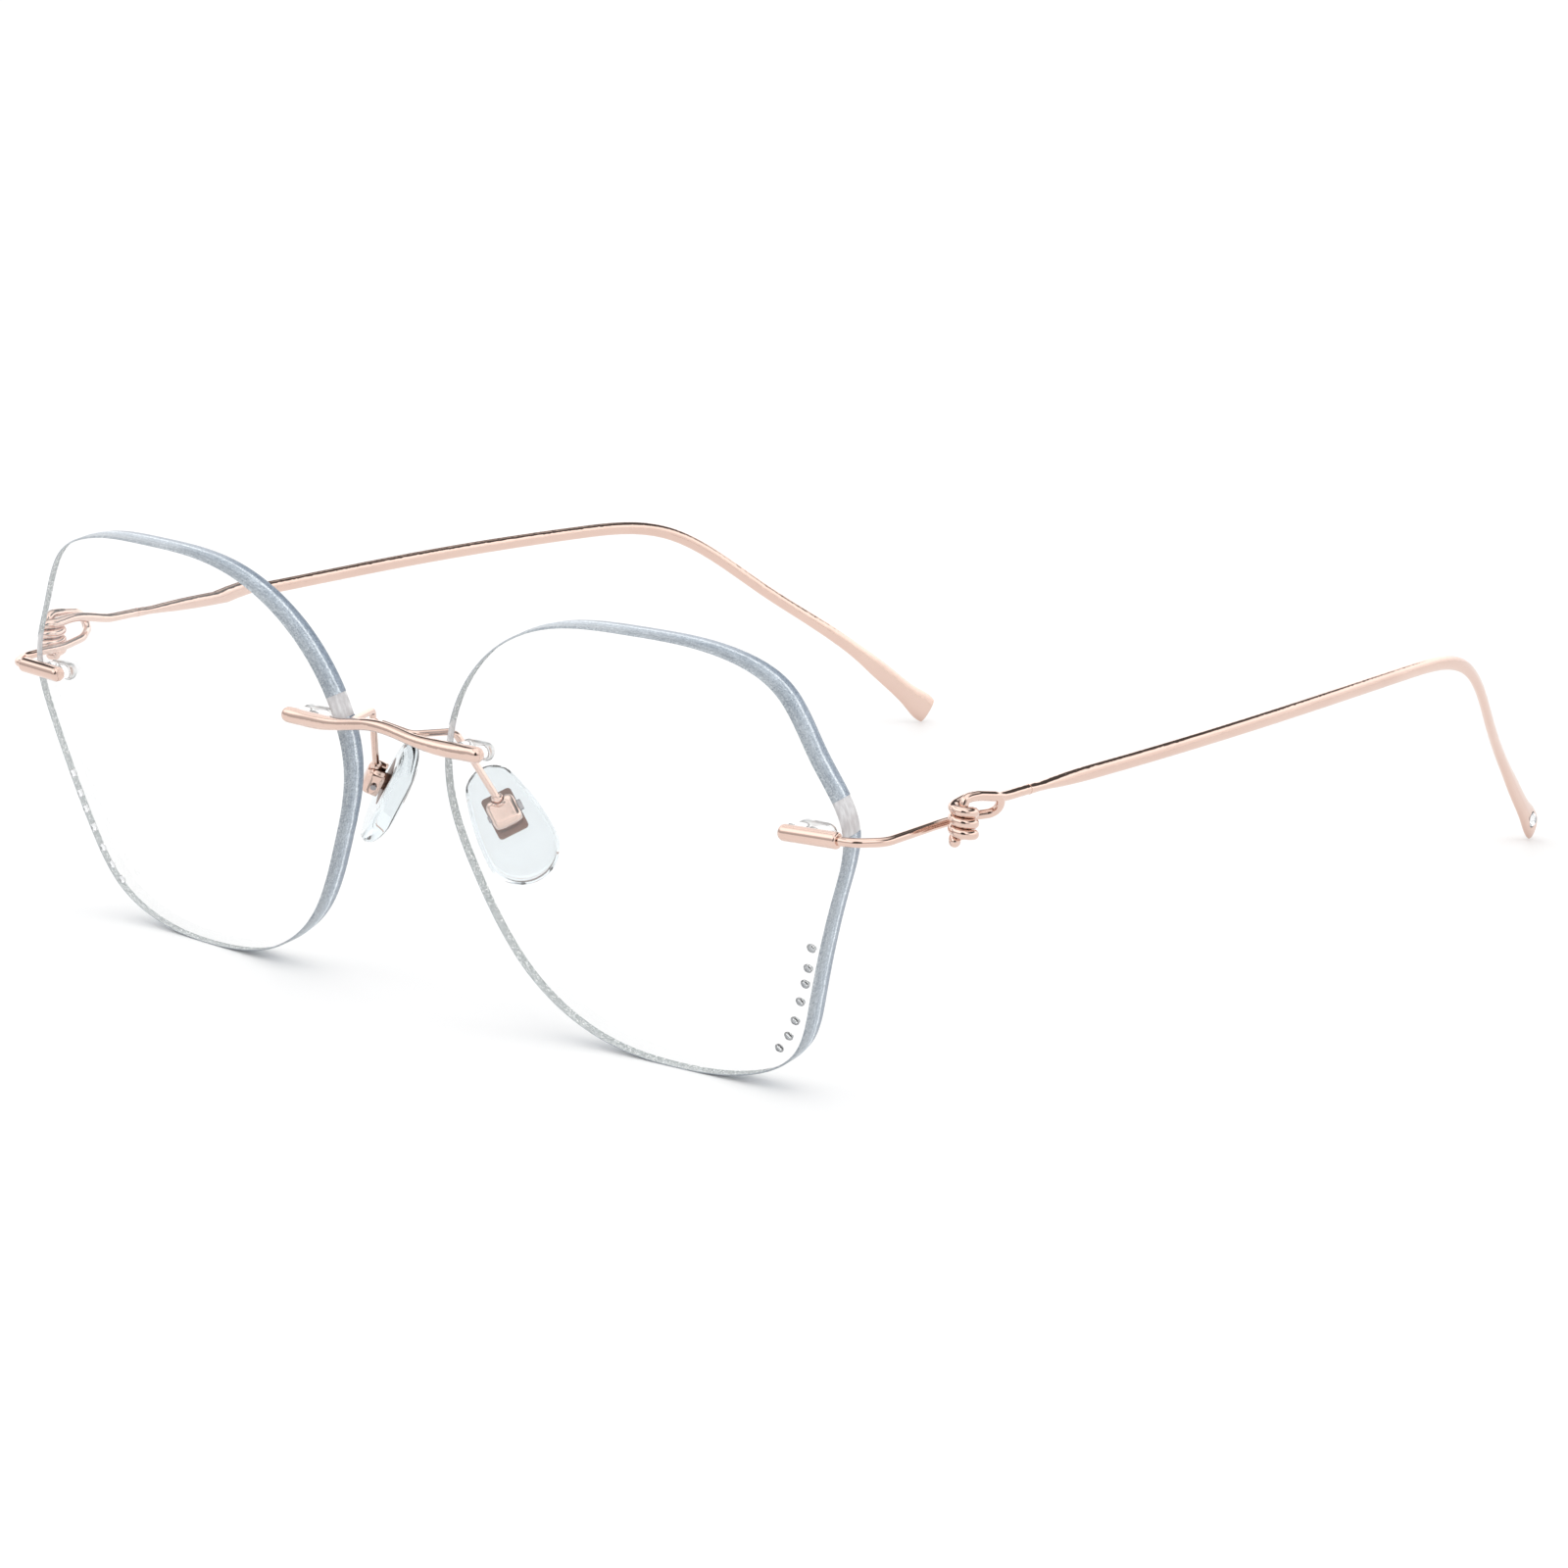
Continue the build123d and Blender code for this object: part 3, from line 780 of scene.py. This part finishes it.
def cushion_block(name, centre, size, power, profile, side, materials=()):
    """Rounded block in pad coordinates: squarish rings, as (share of its size, millimetres ahead)."""
    outline = []
    for a in angles_round(64):
        c, s = math.cos(a), math.sin(a)
        reach = (abs(c) ** power + abs(s) ** power) ** (-1 / power)
        outline.append(Vector((c * reach * size[0] / 2, s * reach * size[1] / 2)))
    rings = [[Vector((0, 0, profile[0][1] * MM))]]
    rings += [[Vector((p.x * share, p.y * share, ahead * MM)) for p in outline] for share, ahead in profile]
    rings.append([Vector((0, 0, profile[-1][1] * MM))])
    rings = [[PAD @ (p + centre) for p in ring] for ring in rings]
    mesh = bmesh.new()
    sheet_of_rings(mesh, [mirrored(ring, side) for ring in rings])
    return to_object(mesh, name, materials)


def pad_box(side):
    """Crowned box that holds the pad: hollow behind, scooped for the arm and drilled for the screw."""
    up = Vector((0, BOX_UP, 0))
    name = f"pad_box_body_{side}"
    made = cushion_block(name, up, BOX_SIZE, BOX_SQUARENESS, BOX_PROFILE, side, [rose_gold])
    size = (BOX_POCKET, BOX_SIZE[1] - BOX_WALLS)
    cut(made, cushion_block("pocket", up, size, POCKET_SQUARENESS, POCKET_PROFILE, side))
    top = up + Vector((0, BOX_SIZE[1] / 2, 0))
    low, high = (top + Vector((0, 0, z * MM)) for z in (0.5, 3.5))
    low, high = mirrored([PAD @ low, PAD @ high], side)
    cut(made, rod("notch", low, high, BOX_NOTCH))
    ends = [PAD @ (up + Vector((x * MM, 0, SCREW_OUT))) for x in (-3, 3)]
    cut(made, rod("screw_hole", *mirrored(ends, side), SCREW_HOLE))
    smooth_by_angle(made, BOX_HARD_EDGE)
    return piece(made, "front", "rose_gold", f"pad_box_{side}")


# ---------------------------------------------------------------- CAD nodes

def finish_cad():
    """Materials of the CAD pieces that stay."""
    looks = {
        "bridge": rose_gold, "bridge_pins": rose_gold, "endpiece": rose_gold, "endpiece_pins": rose_gold,
        "temple": rose_gold, "pad_arm": rose_gold, "pad_screw": screw_metal,
        "pad_insert": insert_metal, "sleeve_nasal": sleeve_plastic, "sleeve_temporal": sleeve_plastic,
    }
    for name, obj in nodes.items():
        kind = name.removesuffix("_left").removesuffix("_right")
        if kind in looks:
            obj.data.materials.clear()
            obj.data.materials.append(looks[kind])


# ---------------------------------------------------------------- stage

def floor():
    """White sweep under the glasses."""
    half = 3.0
    mesh = bmesh.new()
    corners = ((-half, -half), (half, -half), (half, half), (-half, half))
    mesh.faces.new([mesh.verts.new((x, y, 0)) for x, y in corners])
    material, tree = new_material("white_floor")
    shader = add(tree, "ShaderNodeBsdfPrincipled", Roughness=0.55)
    shader.inputs["Specular IOR Level"].default_value = 0.3
    tones = [(0.3, (0.85, 0.85, 0.85)), (0.7, (0.87, 0.87, 0.87))]
    link(tree, ramp(tree, noise(tree, 3.0), tones), shader.inputs["Base Color"])
    surface(tree, shader.outputs["BSDF"])
    to_object(mesh, "floor", [material])


def area_light(name, place, target, size, power):
    lamp = bpy.data.lights.new(name, "AREA")
    lamp.shape = "RECTANGLE"
    lamp.size, lamp.size_y = size
    lamp.energy = power
    obj = bpy.data.objects.new(name, lamp)
    obj.location = place
    obj.rotation_mode = "QUATERNION"
    obj.rotation_quaternion = (Vector(target) - Vector(place)).to_track_quat("-Z", "Y")
    bpy.context.scene.collection.objects.link(obj)


def mirrored_tones(tree, direction):
    """What polished pieces mirror: the tent's tones by height, before and behind the glasses."""
    split = tree.nodes.new("ShaderNodeSeparateXYZ")
    link(tree, direction, split.inputs[0])
    height = add(tree, "ShaderNodeMapRange", From_Min=-1.0, From_Max=1.0)
    link(tree, split.outputs["Z"], height.inputs["Value"])
    first, last = BEFORE_TO_BEHIND
    depth = add(tree, "ShaderNodeMapRange", From_Min=first, From_Max=last)
    link(tree, split.outputs["Y"], depth.inputs["Value"])
    mirror = add(tree, "ShaderNodeMixRGB")
    link(tree, depth.outputs["Result"], mirror.inputs["Fac"])
    for tones, socket in ((BEFORE, "Color1"), (BEHIND, "Color2")):
        stops = [(0.5 + up / 2, (tone,) * 3) for up, tone in tones]
        link(tree, ramp(tree, height.outputs["Result"], stops), mirror.inputs[socket])
    return mirror.outputs["Color"]


def with_dark_spot(tree, direction, tones):
    """The tones with the dark shape of the camera's stand in them, squashed in height and soft at its rim."""
    off = add(tree, "ShaderNodeVectorMath", operation="SUBTRACT")
    link(tree, direction, off.inputs[0])
    off.inputs[1].default_value = DARK_SPOT
    squashed = add(tree, "ShaderNodeVectorMath", operation="MULTIPLY")
    link(tree, off.outputs["Vector"], squashed.inputs[0])
    squashed.inputs[1].default_value = (1.0, 1.0, DARK_SPOT_SQUASH)
    reach = add(tree, "ShaderNodeVectorMath", operation="LENGTH")
    link(tree, squashed.outputs["Vector"], reach.inputs[0])
    full, gone = DARK_SPOT_EDGE
    spot = add(tree, "ShaderNodeMapRange", From_Min=gone, From_Max=full)
    link(tree, reach.outputs["Value"], spot.inputs["Value"])
    spotted = add(tree, "ShaderNodeMixRGB", Color2=(0.03, 0.03, 0.03, 1.0))
    link(tree, spot.outputs["Result"], spotted.inputs["Fac"])
    link(tree, tones, spotted.inputs["Color1"])
    return spotted.outputs["Color"]


def world():
    """White tent. Polished pieces also mirror its dark back seam and the dimmer side it is shot from."""
    sky = bpy.data.worlds.new("tent")
    sky.use_nodes = True
    tree = sky.node_tree
    tree.nodes.clear()
    direction = tree.nodes.new("ShaderNodeTexCoord").outputs["Generated"]
    tones = with_dark_spot(tree, direction, mirrored_tones(tree, direction))
    scaled = add(tree, "ShaderNodeBackground", Strength=2.0)
    link(tree, tones, scaled.inputs["Color"])
    white = (1.0, 1.0, 1.0, 1.0)
    plain = add(tree, "ShaderNodeBackground", Color=white, Strength=TENT_STRENGTH)
    seen = add(tree, "ShaderNodeBackground", Color=white, Strength=1.0)
    path = tree.nodes.new("ShaderNodeLightPath")
    through = add(tree, "ShaderNodeMapRange", To_Min=1.0, To_Max=SEEN_THROUGH)
    link(tree, path.outputs["Is Transmission Ray"], through.inputs["Value"])
    share = add(tree, "ShaderNodeMath", operation="MULTIPLY")
    link(tree, path.outputs["Is Glossy Ray"], share.inputs[0])
    link(tree, through.outputs["Result"], share.inputs[1])
    lit = tree.nodes.new("ShaderNodeMixShader")
    link(tree, share.outputs["Value"], lit.inputs["Fac"])
    link(tree, plain.outputs["Background"], lit.inputs[1])
    link(tree, scaled.outputs["Background"], lit.inputs[2])
    shown = tree.nodes.new("ShaderNodeMixShader")
    link(tree, path.outputs["Is Camera Ray"], shown.inputs["Fac"])
    link(tree, lit.outputs["Shader"], shown.inputs[1])
    link(tree, seen.outputs["Background"], shown.inputs[2])
    out = tree.nodes.new("ShaderNodeOutputWorld")
    link(tree, shown.outputs["Shader"], out.inputs["Surface"])
    bpy.context.scene.world = sky


def camera():
    """Seen from the front, to the wearer's left and a little above, through a long lens."""
    lens_mm, distance = 107.4, 536.9 * MM
    azimuth, elevation, roll = math.radians(41.26), math.radians(13.47), math.radians(0.25)
    target = Vector((2.64, -13.0, 14.9)) * MM
    back = Vector((
        math.sin(azimuth) * math.cos(elevation), -math.cos(azimuth) * math.cos(elevation), math.sin(elevation)
    ))
    data = bpy.data.cameras.new("camera")
    data.lens = lens_mm
    data.sensor_width = 36.0
    data.clip_start, data.clip_end = 0.01, 20.0
    obj = bpy.data.objects.new("camera", data)
    obj.location = target + back * distance
    obj.rotation_mode = "QUATERNION"
    turn = (-back).to_track_quat("-Z", "Y")
    obj.rotation_quaternion = turn @ Matrix.Rotation(roll, 3, "Z").to_quaternion()
    bpy.context.scene.collection.objects.link(obj)
    bpy.context.scene.camera = obj


camera()
world()
floor()
area_light("overhead", (0.1, -0.2, 1.1), (0, 0, 0), (0.9, 0.9), 1.2)
bpy.context.scene.view_settings.view_transform = "Standard"
finish_cad()
for each in SIDES:
    lens(each)
    paint(each)
    small_stones(each)
    tip_stone(each)
    nose_pad(each)
    pad_box(each)
